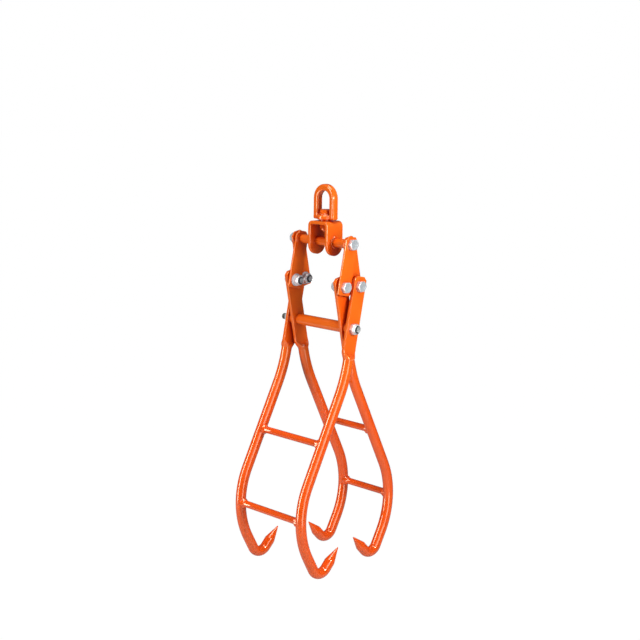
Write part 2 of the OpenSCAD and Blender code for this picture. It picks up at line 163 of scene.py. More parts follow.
# Painted shade: what the coat's colour is multiplied by deep in a recess, and low on the tongs, so that it
# turns darker and redder where less light reaches
RECESS_PAINTED_SHADE, LOW_PAINTED_SHADE = (0.66, 0.12, 0.15), (0.96, 0.6, 0.4)
# How far the painted shade in recesses looks for nearby surfaces, in metres
RECESS_SHADE_REACH = 0.06
# The heights in metres where the painted shade low on the tongs is full and where it ends
LOW_SHADE_FULL, LOW_SHADE_END = -0.42, -0.25
COAT_ROUGH_MIN, COAT_ROUGH_MAX = 0.07, 0.13


# Painted shade: the coat turns darker and redder where nearby surfaces close it in
def recess_painted_shade(mat):
    depth = add(mat, "ShaderNodeAmbientOcclusion", samples=6, Distance=RECESS_SHADE_REACH)
    return ramp(mat, depth.outputs["AO"], [(0.15, RECESS_PAINTED_SHADE), (0.95, WHITE)]).outputs["Color"]


# Painted shade: the coat turns darker and redder towards the bottom of the tongs, where less light falls
def height_painted_shade(mat):
    where = add(mat, "ShaderNodeTexCoord")
    height = add(mat, "ShaderNodeSeparateXYZ")
    link(mat, where.outputs["Object"], height.inputs[0])
    share = map_range(mat, height.outputs["Z"], From_Min=LOW_SHADE_FULL, From_Max=LOW_SHADE_END)
    return ramp(mat, share, [(0.0, LOW_PAINTED_SHADE), (1.0, WHITE)]).outputs["Color"]


def powder_coat():
    """Glossy orange powder coat with faint clouds and waves, with painted shade that makes it redder low on
    the tongs and in recesses.
    """
    mat, node = shader("orange_powder_coat", ORANGE_MAIN, 0.2, coat=0.5)
    node.inputs["Specular IOR Level"].default_value = 1.0
    node.inputs["Specular Tint"].default_value = (1.0, 0.85, 0.55, 1)
    tone = noise_node(mat, 28.0, 4.0)
    colour = ramp(mat, tone.outputs["Fac"], [(0.25, ORANGE_DEEP), (0.5, ORANGE_MAIN), (0.75, ORANGE_PALE)])
    # Painted shade from recesses and from height is multiplied into the coat's colour
    recess = recess_painted_shade(mat)
    coat = multiply(mat, colour.outputs["Color"], height_painted_shade(mat))
    link(mat, multiply(mat, coat, recess), node.inputs["Base Color"])
    shine = noise_node(mat, 90.0, 3.0)
    rough = map_range(mat, shine.outputs["Fac"], To_Min=COAT_ROUGH_MIN, To_Max=COAT_ROUGH_MAX)
    link(mat, rough, node.inputs["Roughness"])
    bump(mat, node, noise_node(mat, 40.0, 1.0), 0.05, 0.0003)
    return mat


def zinc():
    """Bright zinc plate: faint blue, with fine cloudy mottling."""
    mat, node = shader("zinc_plate", (0.74, 0.79, 0.82), 0.26, metal=0.6)
    tone = noise_node(mat, 320.0, 4.0)
    colour = ramp(mat, tone.outputs["Fac"], [(0.3, (0.62, 0.68, 0.73)), (0.7, (0.86, 0.90, 0.93))])
    link(mat, colour.outputs["Color"], node.inputs["Base Color"])
    bump(mat, node, noise_node(mat, 700.0, 2.0), 0.15, 0.0001)
    return mat


# How squarely a face has to look along Y to count as a sawn end
SAWN_END = 0.95


def dark_steel():
    """Phosphated steel of the main pivot rod: dark and satin on the thread, paler on the sawn ends."""
    mat, node = shader("dark_steel", (0.26, 0.28, 0.26), 0.4, metal=0.6)
    tone = noise_node(mat, 420.0, 3.0)
    thread = ramp(mat, tone.outputs["Fac"], [(0.35, (0.05, 0.055, 0.05)), (0.65, (0.16, 0.17, 0.15))])
    sawn = ramp(mat, tone.outputs["Fac"], [(0.42, (0.36, 0.39, 0.37)), (0.6, (0.85, 0.87, 0.87))])
    face = add(mat, "ShaderNodeNewGeometry")
    parts = add(mat, "ShaderNodeSeparateXYZ")
    link(mat, face.outputs["True Normal"], parts.inputs[0])
    along = add(mat, "ShaderNodeMath", operation="ABSOLUTE")
    link(mat, parts.outputs["Y"], along.inputs[0])
    is_end = add(mat, "ShaderNodeMath", operation="GREATER_THAN")
    link(mat, along.outputs[0], is_end.inputs[0])
    is_end.inputs[1].default_value = SAWN_END
    mix = add(mat, "ShaderNodeMix", data_type="RGBA")
    link(mat, is_end.outputs[0], mix.inputs["Factor"])
    link(mat, thread.outputs["Color"], mix.inputs["A"])
    link(mat, sawn.outputs["Color"], mix.inputs["B"])
    link(mat, mix.outputs["Result"], node.inputs["Base Color"])
    return mat


def insert_black():
    """Blue-black of the zinc nuts' locking rings, and of the thread where a zinc bolt leaves its nut."""
    mat, node = shader("nut_insert", (0.02, 0.022, 0.035), 0.5)
    tone = noise_node(mat, 500.0, 3.0)
    colour = ramp(mat, tone.outputs["Fac"], [(0.3, (0.012, 0.014, 0.025)), (0.7, (0.035, 0.04, 0.06))])
    link(mat, colour.outputs["Color"], node.inputs["Base Color"])
    return mat


ORANGE = powder_coat()
ZINC = zinc()
DARK = dark_steel()
INSERT = insert_black()


# Building pieces from points in millimetres

def make_object(name, bm, mats, smooth_angle=35.0):
    bmesh.ops.remove_doubles(bm, verts=bm.verts, dist=2e-6)
    bmesh.ops.dissolve_degenerate(bm, dist=1e-6, edges=bm.edges)
    bmesh.ops.recalc_face_normals(bm, faces=bm.faces)
    mesh = bpy.data.meshes.new(name)
    bm.to_mesh(mesh)
    bm.free()
    obj = bpy.data.objects.new(name, mesh)
    bpy.context.scene.collection.objects.link(obj)
    for mat in mats:
        mesh.materials.append(mat)
    mesh.shade_smooth()
    mesh.set_sharp_from_angle(angle=math.radians(smooth_angle))
    return obj


def discard(obj):
    mesh = obj.data
    bpy.data.objects.remove(obj)
    bpy.data.meshes.remove(mesh)


def apply_modifiers(obj):
    graph = bpy.context.evaluated_depsgraph_get()
    mesh = bpy.data.meshes.new_from_object(obj.evaluated_get(graph))
    old = obj.data
    obj.modifiers.clear()
    obj.data = mesh
    bpy.data.meshes.remove(old)


def loft(name, rings, mats, smooth_angle=35.0, closed=False, material_of=None):
    """A skin over rings of equal point counts, with a fan at each end, or joined into a loop if closed."""
    bm = bmesh.new()
    rows = [[bm.verts.new(Vector(p) * MM) for p in ring] for ring in rings]
    count = len(rings[0])
    pairs = list(zip(rows, rows[1:])) + ([(rows[-1], rows[0])] if closed else [])
    for k, (low, high) in enumerate(pairs):
        for i in range(count):
            face = bm.faces.new((low[i], low[(i + 1) % count], high[(i + 1) % count], high[i]))
            if material_of:
                face.material_index = material_of(k)
    if not closed:
        for row in (rows[0], rows[-1]):
            middle = bm.verts.new(sum((v.co for v in row), Vector()) / count)
            for i in range(count):
                face = bm.faces.new((row[i], row[(i + 1) % count], middle))
                if material_of:
                    face.material_index = material_of(0 if row is rows[0] else len(rows) - 2)
    return make_object(name, bm, mats, smooth_angle)


def revolve(name, profile, place, mats, wave=None, hollow=False):
    """Turns a profile of (radius, height) about local Z and puts it in place."""
    count = 64
    rings = []
    for r, h in profile:
        ring = []
        for i in range(count):
            t = 2 * math.pi * i / count
            grow = wave(t, h) if wave else 0.0
            ring.append(place @ Vector(((r + grow) * math.cos(t), (r + grow) * math.sin(t), h)))
        rings.append(ring)
    return loft(name, rings, mats, closed=hollow)


def cut_hole(obj, place, radius, depth):
    """Drills a round hole along the local Z of its place."""
    cutter = revolve(obj.name + "_cut", [(radius, -depth), (radius, depth)], place, [])
    mod = obj.modifiers.new("hole", "BOOLEAN")
    mod.object = cutter
    mod.solver = "EXACT"
    apply_modifiers(obj)
    discard(cutter)


def bevel(obj, width, angle=40.0, segments=3):
    mod = obj.modifiers.new("bevel", "BEVEL")
    mod.width = width * MM
    mod.segments = segments
    mod.limit_method = "ANGLE"
    mod.angle_limit = math.radians(angle)
    apply_modifiers(obj)
    obj.data.shade_smooth()
    obj.data.set_sharp_from_angle(angle=math.radians(CUT_EDGE))


def dress(obj, body, slot, *nodes):
    """Says which body a piece rides on and the solids that it replaces; the material slot is not used."""
    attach(obj, body)
    if nodes:
        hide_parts(*nodes)


# Placing

def rot(angle, axis):
    return Matrix.Rotation(math.radians(angle), 4, axis)


def hang(x, y, z):
    """A link or bar at rest with its pivot at (x, y, z): local X runs down it and local Z along Y."""
    return Matrix.Translation((x, y, z)) @ rot(90 + REST, "Y") @ rot(-90, "X")


MIRROR_X = Matrix.Diagonal((-1, 1, 1, 1))
MIRROR_Y = Matrix.Diagonal((1, -1, 1, 1))
FLIP_Z = Matrix.Diagonal((1, 1, -1, 1))


def side(front):
    """Mirrors to the front or leaves at the back, about the frames' middle plane."""
    shift = Matrix.Translation((0, MIDDLE_Y, 0))
    return shift @ MIRROR_Y if front else shift


def outer_place(front):
    return side(front) @ hang(0, OUTER_Y, MAIN_Z)


def inner_place(front):
    return MIRROR_X @ side(front) @ Matrix.Translation((0, INNER_OUT, 0)) @ MIRROR_Y @ hang(0, 0, MAIN_Z)


def to_front(x, y, z):
    return Matrix.Translation((x, y, z)) @ rot(90, "X")


def to_back(x, y, z):
    return Matrix.Translation((x, y, z)) @ rot(-90, "X")


def pivot_place(x, y, front):
    return side(front) @ to_front(x, y, LINK_Z)


# The bars' centreline

def heading(a):
    return Vector((math.cos(math.radians(a)), math.sin(math.radians(a))))


def normal(a):
    return Vector((-math.sin(math.radians(a)), math.cos(math.radians(a))))


def arc_end(p, a, r, turn):
    s = math.copysign(1, turn)
    return p + s * r * normal(a) - s * r * normal(a + turn)


def arc_points(p, a, r, turn, steps):
    return [(arc_end(p, a, r, turn * k / steps) if k else p, a + turn * k / steps) for k in range(steps + 1)]


NECK_END = Vector((FLAT_TAIL + NECK, 0))
SHANK_START = arc_end(NECK_END, 0, UPPER_R, UPPER_ANGLE)
SHANK_END = SHANK_START + SHANK * heading(UPPER_ANGLE)
UPPER_RUNG = SHANK_START + UPPER_RUNG_AT * heading(UPPER_ANGLE)
LOWER_RUNG = arc_end(SHANK_END, UPPER_ANGLE, BELLY_R, -LOWER_RUNG_ANGLE)
LOWER_ANGLE = UPPER_ANGLE - BELLY_ANGLE
BELLY_END = arc_end(SHANK_END, UPPER_ANGLE, BELLY_R, -BELLY_ANGLE)
WELD_END = BELLY_END + LOWER_LEN * heading(LOWER_ANGLE)
STUB_START = arc_end(WELD_END, LOWER_ANGLE, CLAW_R, -CLAW_ANGLE)
STUB_ANGLE = LOWER_ANGLE - CLAW_ANGLE


def rounded_box(half_w, low, high, radius, corner=10, flat=8, wall=3):
    """Points of a rounded rectangle as (u, v), starting on the wall at u = half_w."""
    r = min(radius, half_w - 0.01, (high - low) / 2 - 0.01)
    points = []
    corners = [(half_w - r, high - r, 0), (-half_w + r, high - r, 90),
               (-half_w + r, low + r, 180), (half_w - r, low + r, 270)]
    for k, (cu, cv, start) in enumerate(corners):
        for i in range(corner + 1):
            t = math.radians(start + 90 * i / corner)
            points.append((cu + r * math.cos(t), cv + r * math.sin(t)))
        nu, nv, nstart = corners[(k + 1) % 4]
        n = math.radians(nstart)
        first = (nu + r * math.cos(n), nv + r * math.sin(n))
        last = points[-1]
        steps = flat if k % 2 == 0 else wall
        for i in range(1, steps):
            f = i / steps
            points.append((last[0] + (first[0] - last[0]) * f, last[1] + (first[1] - last[1]) * f))
    return points


def station(place, p, a, section):
    n = normal(a)
    return [place @ Vector((p.x + u * n.x, p.y + u * n.y, BAR_AXIS + v)) for u, v in section]


def smooth_step(t):
    t = max(0.0, min(1.0, t))
    return t * t * (3 - 2 * t)


FLAT_LOW, FLAT_HIGH = -BAR_AXIS, FLAT_T - BAR_AXIS
FLAT_CORNER = 1.0
ROUND = rounded_box(BAR_R, -BAR_R, BAR_R, BAR_R)
# How far the V on the flat's faces reaches down the neck, and how steeply each face rises past it
NECK_V, NECK_RISE_HIGH, NECK_RISE_LOW = 9.0, 1.5, 0.8


def neck_section(s):
    """The forged run-out: the flat's faces end in a V that points down the round bar."""
    t = s / NECK
    w = FLAT_W / 2 + (BAR_R - FLAT_W / 2) * smooth_step(t)
    rise = smooth_step(t / 0.75)
    low = FLAT_LOW + (-BAR_R - FLAT_LOW) * rise
    high = FLAT_HIGH + (BAR_R - FLAT_HIGH) * rise
    radius = FLAT_CORNER + (BAR_R - FLAT_CORNER) * smooth_step(t / 0.9)
    section = []
    for u, v in rounded_box(w, low, high, radius):
        start = NECK_V * (1 - abs(u) / w)
        reach = max(0.0, s - start)
        v = min(v, FLAT_HIGH + reach * NECK_RISE_HIGH)
        v = max(v, FLAT_LOW - reach * NECK_RISE_LOW)
        section.append((u, v))
    return section


def bar_rings(place):
    """Rings of a bar: the flat with its cut top end, the neck, the shank, the belly and the lower end."""
    rings = []
    top = -PITCH - FLAT_HEAD
    for s, w in ((0.0, 1.0), (0.4, 0.4), (1.0, 0.0)):
        half = FLAT_W / 2 - FLAT_CUT - w * 0.3
        section = rounded_box(half, FLAT_LOW + w * 0.5, FLAT_HIGH - w * 0.5, 0.9)
        rings.append(station(place, Vector((top + s, 0)), 0, section))
    for s in (FLAT_CUT - 0.5, FLAT_CUT + 0.5):
        half = min(FLAT_W / 2, FLAT_W / 2 - FLAT_CUT + s) - 0.1
        section = rounded_box(half, FLAT_LOW, FLAT_HIGH, FLAT_CORNER)
        rings.append(station(place, Vector((top + s, 0)), 0, section))
    plain = rounded_box(FLAT_W / 2, FLAT_LOW, FLAT_HIGH, FLAT_CORNER)
    for s in (top + FLAT_CUT + 2, -PITCH, -PITCH / 2, 0.0, FLAT_TAIL / 2, FLAT_TAIL - 1):
        rings.append(station(place, Vector((s, 0)), 0, plain))
    steps = 32
    for k in range(steps):
        s = NECK * k / steps
        rings.append(station(place, Vector((FLAT_TAIL + s, 0)), 0, neck_section(s)))
    path = arc_points(NECK_END, 0, UPPER_R, UPPER_ANGLE, 14)
    path += [(SHANK_START + SHANK * f * heading(UPPER_ANGLE), UPPER_ANGLE) for f in (0.25, 0.5, 0.75)]
    path += arc_points(SHANK_END, UPPER_ANGLE, BELLY_R, -BELLY_ANGLE, 36)
    path += [(BELLY_END + LOWER_LEN * f * heading(LOWER_ANGLE), LOWER_ANGLE) for f in (0.5, 1.0)]
    rings += [station(place, p, a, ROUND) for p, a in path]
    return rings


def claw_rings(place):
    """Rings of a claw: round bar bent in a tight arc, a short straight stub and the tapered point."""
    bend = arc_points(WELD_END, LOWER_ANGLE, CLAW_R, -CLAW_ANGLE, 40)
    rings = [station(place, p, a, ROUND) for p, a in bend]
    for s, r in ((0.25, 1.0), (0.6, 1.0), (0.93, 1.0), (0.985, 0.993), (1.04, 0.975)):
        p = STUB_START + CLAW_STUB * s * heading(STUB_ANGLE)
        rings.append(station(place, p, STUB_ANGLE, [(u * r, v * r) for u, v in ROUND]))
    base = STUB_START + CLAW_STUB * heading(STUB_ANGLE)
    for f in (0.06, 0.2, 0.4, 0.6, 0.8, 0.92, 0.98, 1.0):
        r = (BAR_R + (TIP_R - BAR_R) * f) / BAR_R
        r *= 0.6 if f == 1.0 else 1.0
        p = base + POINT_LEN * f * heading(STUB_ANGLE)
        rings.append(station(place, p, STUB_ANGLE, [(u * r, v * r) for u, v in ROUND]))
    return rings


def drill_bar(obj, place, main_r):
    """Bores the link pivot's hole and the main pivot's."""
    for x, radius in ((-PITCH, HOLE_R), (0, main_r)):
        cut_hole(obj, place @ Matrix.Translation((x, 0, FLAT_T / 2)), radius, FLAT_T)


def make_frames():
    for kind, place_of, main_r in (("outer", outer_place, HOLE_R), ("inner", inner_place, MAIN_HOLE_R)):
        for name, front in (("front", True), ("back", False)):
            place = place_of(front)
            bar = loft(f"{kind}_bar_{name}_forged", bar_rings(place), [ORANGE], FORGED_EDGE)
            drill_bar(bar, place, main_r)
            bar.data.set_sharp_from_angle(angle=math.radians(FORGED_EDGE))
            dress(bar, f"{kind}_frame", "orange_paint", f"{kind}_bar_{name}")
            claw = loft(f"{kind}_claw_{name}_forged", claw_rings(place), [ORANGE], FORGED_EDGE)
            dress(claw, f"{kind}_frame", "orange_paint", f"{kind}_claw_{name}")


# Rungs with their weld fillets

# The length of the weld at a rung's end, and how far the rung stops short of the bars' axes
WELD_FILLET, RUNG_SHORT = 7.0, 3.0


def make_rung(name, body, p, place, half):
    """A rung between two bars whose axes lie at half on each side, with an uneven fillet at each end."""
    centre = place @ Vector((p.x, p.y, 0))
    inner_end = half - BAR_R
    profile = [(RUNG_R + 2.5, RUNG_SHORT - half),
               (RUNG_R + 3.2, -inner_end),
               (RUNG_R + 1.4, -inner_end + WELD_FILLET * 0.35),
               (RUNG_R + 0.4, -inner_end + WELD_FILLET * 0.75),
               (RUNG_R, -inner_end + WELD_FILLET)]
    middle = [(RUNG_R, h * (inner_end - WELD_FILLET)) for h in (-0.5, 0.0, 0.5)]
    profile = profile + middle + [(r, -h) for r, h in reversed(profile)]

    def wave(t, h):
        if abs(h) < inner_end - WELD_FILLET * 0.8:
            return 0.0
        return 0.35 * math.sin(4 * t + h * 0.1) + 0.2 * math.sin(11 * t + h)
    rung = revolve(name + "_welded", profile, to_back(centre.x, MIDDLE_Y, centre.z), [ORANGE], wave=wave)
    dress(rung, body, "orange_paint", name)


def make_rungs():
    outer_half, inner_half = OUTER_Y + BAR_AXIS, INNER_OUT - BAR_AXIS
    make_rung("outer_upper_rung", "outer_frame", UPPER_RUNG, outer_place(False), outer_half)
    make_rung("outer_lower_rung", "outer_frame", LOWER_RUNG, outer_place(False), outer_half)
    make_rung("inner_upper_rung", "inner_frame", UPPER_RUNG, inner_place(False), inner_half)
    make_rung("inner_lower_rung", "inner_frame", LOWER_RUNG, inner_place(False), inner_half)


# Links

def link_outline():
    """A link's outline: cut corners at the head, rounded corners at the tail."""
    r, w = LINK_CORNER, LINK_W / 2
    x1 = PITCH + LINK_TAIL
    points = [(-LINK_HEAD, w - LINK_CUT), (-LINK_HEAD, -w + LINK_CUT), (-LINK_HEAD + LINK_CUT, -w)]
    for cy, start in ((-w + r, 270), (w - r, 0)):
        for k in range(7):
            t = math.radians(start + 15 * k)
            points.append((x1 - r + r * math.cos(t), cy + r * math.sin(t)))
    return points + [(-LINK_HEAD + LINK_CUT, w)]


def plate(name, outline, thickness, place, edge):
    """A flat plate with beveled edges."""
    bm = bmesh.new()
    low = [bm.verts.new(place @ Vector((x, y, 0)) * MM) for x, y in outline]
    high = [bm.verts.new(place @ Vector((x, y, thickness)) * MM) for x, y in outline]
    bm.faces.new(low)
    bm.faces.new(high)
    for i in range(len(outline)):
        j = (i + 1) % len(outline)
        bm.faces.new((low[i], low[j], high[j], high[i]))
    obj = make_object(name, bm, [ORANGE])
    bevel(obj, edge)
    return obj


def make_links():
    for hand, name, front, y, mirror in (("left", "front", True, LEFT_LINK_Y, Matrix.Identity(4)),
                                         ("left", "back", False, BACK_LEFT_LINK_Y, Matrix.Identity(4)),
                                         ("right", "front", True, RIGHT_LINK_Y, MIRROR_X),
                                         ("right", "back", False, BACK_RIGHT_LINK_Y, MIRROR_X)):
        place = side(front) @ mirror @ hang(0, y, TOP_Z)
        piece = plate(f"link_{hand}_{name}_cut", link_outline(), LINK_T, place, 0.7)
        for x in (0, PITCH):
            cut_hole(piece, place @ Matrix.Translation((x, 0, LINK_T / 2)), HOLE_R, LINK_T)
        piece.data.set_sharp_from_angle(angle=math.radians(CUT_EDGE))
        dress(piece, f"{hand}_links", "orange_paint", f"link_{hand}_{name}")


# Fasteners, with their bearing face at zero on local Z

# Points around every ring of a bolt, nut or rod
RING_STEPS = 72


def hex_rings(height, low_chamfer=0.0):
    """Rings of a chamfered hexagon: the chamfer cone scallops the upper edge."""
    apothem = HEX_AF / 2
    face_r = apothem * HEX_FACE

    def corner_r(t):
        a = (t % (math.pi / 3)) - math.pi / 6
        return apothem / math.cos(a)

    def ring(kind):
        points = []
        for i in range(RING_STEPS):
            t = 2 * math.pi * i / RING_STEPS
            r = corner_r(t)
            drop = (r - face_r) * HEX_CHAMFER
            if kind == "top":
                points.append((face_r * math.cos(t), face_r * math.sin(t), height))
            elif kind == "edge":
                points.append((r * math.cos(t), r * math.sin(t), height - drop))
            elif kind == "foot":
                lift = max(0.0, r - apothem) * low_chamfer
                points.append((r * math.cos(t), r * math.sin(t), lift))
            else:
                f = apothem * HEX_FOOT / r if low_chamfer else 1.0
                points.append((r * f * math.cos(t), r * f * math.sin(t), 0.0))
        return points
    return ring("base"), ring("foot"), ring("edge"), ring("top")


def circle(r, h):
    turns = [2 * math.pi * i / RING_STEPS for i in range(RING_STEPS)]
    return [(r * math.cos(t), r * math.sin(t), h) for t in turns]


def placed(rings, place):
    return [[place @ Vector(p) for p in ring] for ring in rings]


def thread_rings(start, end):
    """Thread shown as plain grooves, with a chamfered end."""
    rings = []
    steps = max(2, int((end - start) / THREAD_PITCH * 2))
    for k in range(steps):
        r = BOLT_R - THREAD_PLAY - (THREAD_DEPTH if k % 2 else 0.0)
        rings.append(circle(r, start + (end - start) * k / steps))
    return rings + [circle(BOLT_R - 1.4, end - 0.05), circle(BOLT_R - 1.8, end)]


def hex_bolt(name, length, place, mat):
    """Head below zero, shank above it, with thread where it stands out of the nut."""
    _, foot, edge, top = hex_rings(HEAD_H)
    dish = [circle(5.2, HEAD_H - 0.35), circle(6.2, HEAD_H - 0.3), circle(6.9, HEAD_H)]
    head = placed(dish + [top, edge, foot], FLIP_Z)
    shank = [circle(BOLT_R, 0.0), circle(BOLT_R, length - THREAD_OUT - 2)]
    rings = head + shank + thread_rings(length - THREAD_OUT - 1.5, length)
    dark_from = len(head) + 1
    return loft(name, placed(rings, place), [mat, INSERT], 30.0,
                material_of=lambda k: 1 if mat is ZINC and dark_from <= k < len(rings) - 2 else 0)


def lock_nut(name, place, mat, start=0.0):
    """A hexagon with a rounded collar that holds the locking ring."""
    base, foot, edge, top = hex_rings(NUT_H, low_chamfer=HEX_CHAMFER)
    shift = Matrix.Translation((0, 0, start))
    total = NUT_H + COLLAR_H
    collar = [circle(COLLAR_R, NUT_H + 0.1), circle(COLLAR_R, total - 1.2),
              circle(COLLAR_R - 0.35, total - 0.4), circle(COLLAR_R - 0.9, total),
              circle(COLLAR_R - 1.3, total - 0.25)]
    rings = [circle(BOLT_R, 0.0), base, foot, edge, top] + collar + [circle(BOLT_R, total - 0.45)]
    return loft(name, placed(rings, place @ shift), [mat, INSERT], 30.0, closed=True,
                material_of=lambda k: 1 if k >= len(rings) - 2 and mat is ZINC else 0)


def washer(name, place, outer, inner, thickness, mat, edge=0.4):
    """A ring with chamfered outer edges, which serves for spacers too."""
    profile = [(inner, 0), (outer - edge, 0), (outer, edge), (outer, thickness - edge),
               (outer - edge, thickness), (inner, thickness)]
    return revolve(name, profile, place, [mat], hollow=True)


def link_pivot(key, x, bearing, nut, spacer_y, spacer_t):
    """One link pivot: bolt, spacer, washer and nut, all fast to the link."""
    hand, name = key.split("_")
    body, front = f"{hand}_links", name == "front"
    length = bearing - nut + WASHER_T + NUT_H + COLLAR_H + THREAD_OUT
    dress(hex_bolt(key + "_bolt_hex", length, pivot_place(x, bearing, front), ZINC),
          body, "zinc_plate", key + "_bolt")
    dress(washer(key + "_spacer_ring", pivot_place(x, spacer_y, front), WASHER_R, HOLE_R, spacer_t, ORANGE),
          body, "orange_paint", key + "_spacer")
    dress(washer(key + "_washer_ring", pivot_place(x, nut, front), WASHER_R, HOLE_R, WASHER_T, ZINC),
          body, "zinc_plate", key + "_washer")
    dress(lock_nut(key + "_nut_hex", pivot_place(x, nut, front), ZINC, WASHER_T),
          body, "zinc_plate", key + "_nut")


def make_top_pivot():
    """The bolt through both link pairs and the crosstube, with a spacer behind, a washer and a nut."""
    head_y, seat_y = OUTER_Y, BACK_LEFT_LINK_Y + LINK_T + PLAY
    washer_y = INNER_OUT + PLAY
    nut_y = washer_y + WASHER_T
    length = head_y + nut_y + NUT_H + COLLAR_H + THREAD_OUT
    dress(hex_bolt("top_pivot_bolt_hex", length, to_back(0, MIDDLE_Y - head_y, TOP_Z), ZINC),
          "yoke", "zinc_plate", "top_pivot_bolt")
    gap = BACK_RIGHT_LINK_Y - PLAY - seat_y
    for name, y, thick, mat, slot in (("top_pivot_washer", washer_y, WASHER_T, ZINC, "zinc_plate"),
                                      ("top_back_spacer", seat_y, gap, ORANGE, "orange_paint")):
        dress(washer(name + "_ring", to_back(0, MIDDLE_Y + y, TOP_Z), WASHER_R, HOLE_R, thick, mat),
              "yoke", slot, name)
    dress(lock_nut("top_pivot_nut_hex", to_back(0, MIDDLE_Y + nut_y, TOP_Z), ZINC),
          "yoke", "zinc_plate", "top_pivot_nut")


def make_main_pivot():
    """The threaded rod through both frames, a nut at each end and a spacer between the bars at each side."""
    total = NUT_H + COLLAR_H
    front, back = OUTER_OUT + total + THREAD_OUT, OUTER_OUT + total + ROD_OUT
    rings = [circle(r, h) for r, h in rod_profile(-front, back, total)]
    dress(loft("main_pivot_rod_threaded", placed(rings, to_back(0, MIDDLE_Y, MAIN_Z)), [DARK], 30.0),
          "outer_frame", "dark_steel", "main_pivot_rod")
    dress(lock_nut("main_front_nut_hex", to_front(0, MIDDLE_Y - OUTER_OUT, MAIN_Z), ZINC),
          "outer_frame", "zinc_plate", "main_front_nut")
    dress(lock_nut("main_back_nut_hex", to_back(0, MIDDLE_Y + OUTER_OUT, MAIN_Z), ZINC),
          "outer_frame", "zinc_plate", "main_back_nut")
    for name, is_front in (("front", True), ("back", False)):
        spacer = washer(f"main_{name}_spacer_ring", side(is_front) @ to_front(0, OUTER_Y, MAIN_Z), WASHER_R,
                        HOLE_R, 2 * (LINK_T + PLAY), ORANGE)
        dress(spacer, "outer_frame", "orange_paint", f"main_{name}_spacer")


def rod_profile(start, end, total):
    """Radii and heights of a rod with grooves for thread at both ends, where it stands out of the nuts."""
    chamfer, hidden = 0.8, 1.5
    groove, crest = BOLT_R - THREAD_DEPTH, BOLT_R - THREAD_PLAY
    profile = [(BOLT_R - 1.0, start), (BOLT_R - 0.1, start + chamfer)]
    h = start + chamfer + THREAD_PITCH / 2
    while h < start + THREAD_OUT + hidden:
        profile += [(groove, h), (crest, h + THREAD_PITCH / 2)]
        h += THREAD_PITCH
    profile.append((BOLT_R, -OUTER_OUT - total / 2))
    profile.append((BOLT_R, OUTER_OUT + total / 2))
    h = end - chamfer - THREAD_PITCH / 2
    tail = [(BOLT_R - 1.0, end), (BOLT_R - 0.1, end - chamfer)]
    while h > end - ROD_OUT - hidden:
        tail += [(groove, h), (crest, h - THREAD_PITCH / 2)]
        h -= THREAD_PITCH
    return profile + tail[::-1]


def make_fasteners():
    outer_seat = OUTER_Y - PLAY
    bearing = OUTER_OUT + PLAY
    link_pivot("left_front", -LINK_X, LEFT_LINK_Y + LINK_T, INNER_Y - PLAY, LEFT_LINK_Y, LINK_T + PLAY)
    link_pivot("left_back", -LINK_X, INNER_OUT + PLAY, BACK_LEFT_LINK_Y, INNER_Y - PLAY, WASHER_T)
    link_pivot("right_front", LINK_X, bearing, RIGHT_LINK_Y, outer_seat, LINK_T + PLAY)
    link_pivot("right_back", LINK_X, bearing, BACK_RIGHT_LINK_Y, outer_seat, outer_seat - INNER_OUT)
    make_top_pivot()
    make_main_pivot()


# Tubes

TUBE_CHAMFER = 0.6


def tube(name, radius, inner, start, end, z):
    """A tube along Y at height z, with chamfered outer edges."""
    e = TUBE_CHAMFER
    profile = [(inner, start), (radius - e, start), (radius, start + e),
               (radius, end - e), (radius - e, end), (inner, end)]
    return revolve(name, profile, to_back(0, 0, z), [ORANGE], hollow=True)


def weld_bead(name, y, radius, direction, seed):
    """An uneven bead of weld around the crosstube, on the yoke's face."""
    rings = []
    count, around, bead = 90, 10, 2.4
    for i in range(count):
        t = 2 * math.pi * i / count
        size = bead + 0.35 * math.sin(14 * t + seed) + 0.5 * math.sin(3 * t + seed)
        ring = []
        for k in range(around):
            f = 2 * math.pi * k / around
            r = radius + size * 0.45 + size * math.cos(f) * 0.75
            out = y + direction * (0.3 + size * 0.75 * math.sin(f))
            ring.append((r * math.cos(t), out, TOP_Z + r * math.sin(t)))
        rings.append(ring)
    return loft(name, rings, [ORANGE], 60.0, closed=True)


def make_tubes():
    half = INNER_OUT - MIDDLE_Y
    dress(tube("crosstube_welded", TUBE_R, HOLE_R, -half, half, TOP_Z), "yoke", "orange_paint", "crosstube")
    dress(tube("spacer_tube_cut", SPACER_R, MAIN_HOLE_R, MIDDLE_Y - INNER_Y, MIDDLE_Y + INNER_Y, MAIN_Z),
          "inner_frame", "orange_paint", "spacer_tube")
    for k, (y, d) in enumerate(((YOKE_SPAN / 2, 1), (-YOKE_SPAN / 2, -1))):
        dress(weld_bead(f"yoke_weld_{k}", y, TUBE_R, d, 1.3 * k + 0.4), "yoke", "orange_paint")


# Yoke: a strip bent into an inverted U

# Distance along a leg that stands for any point past its rounded end
PAST_END = 999


def yoke_path(steps=10):
    """Points (y, z, angle, distance from the leg's end) along the strip's outer side, from front to back."""
    half, r = YOKE_SPAN / 2, YOKE_BEND
    foot = TOP_Z - YOKE_DROP
    leg = YOKE_TOP - r - foot
    points = []
    ends = [YOKE_W / 2 * (1 - math.cos(math.radians(7.5 * k))) for k in range(13)]
    for s in ends + [YOKE_W / 2 + (leg - YOKE_W / 2) * f for f in (0.5, 1.0)]:
        points.append((-half, foot + s, 180.0, s))
    for k in range(1, steps + 1):
        a = 180 - 90 * k / steps
        t = math.radians(a)
        points.append((-half + r + r * math.cos(t), YOKE_TOP - r + r * math.sin(t), a, PAST_END))
    mirrored = [(-y, z, 180 - a, s) for y, z, a, s in reversed(points)]
    return points + [(0.0, YOKE_TOP, 90.0, PAST_END)] + mirrored


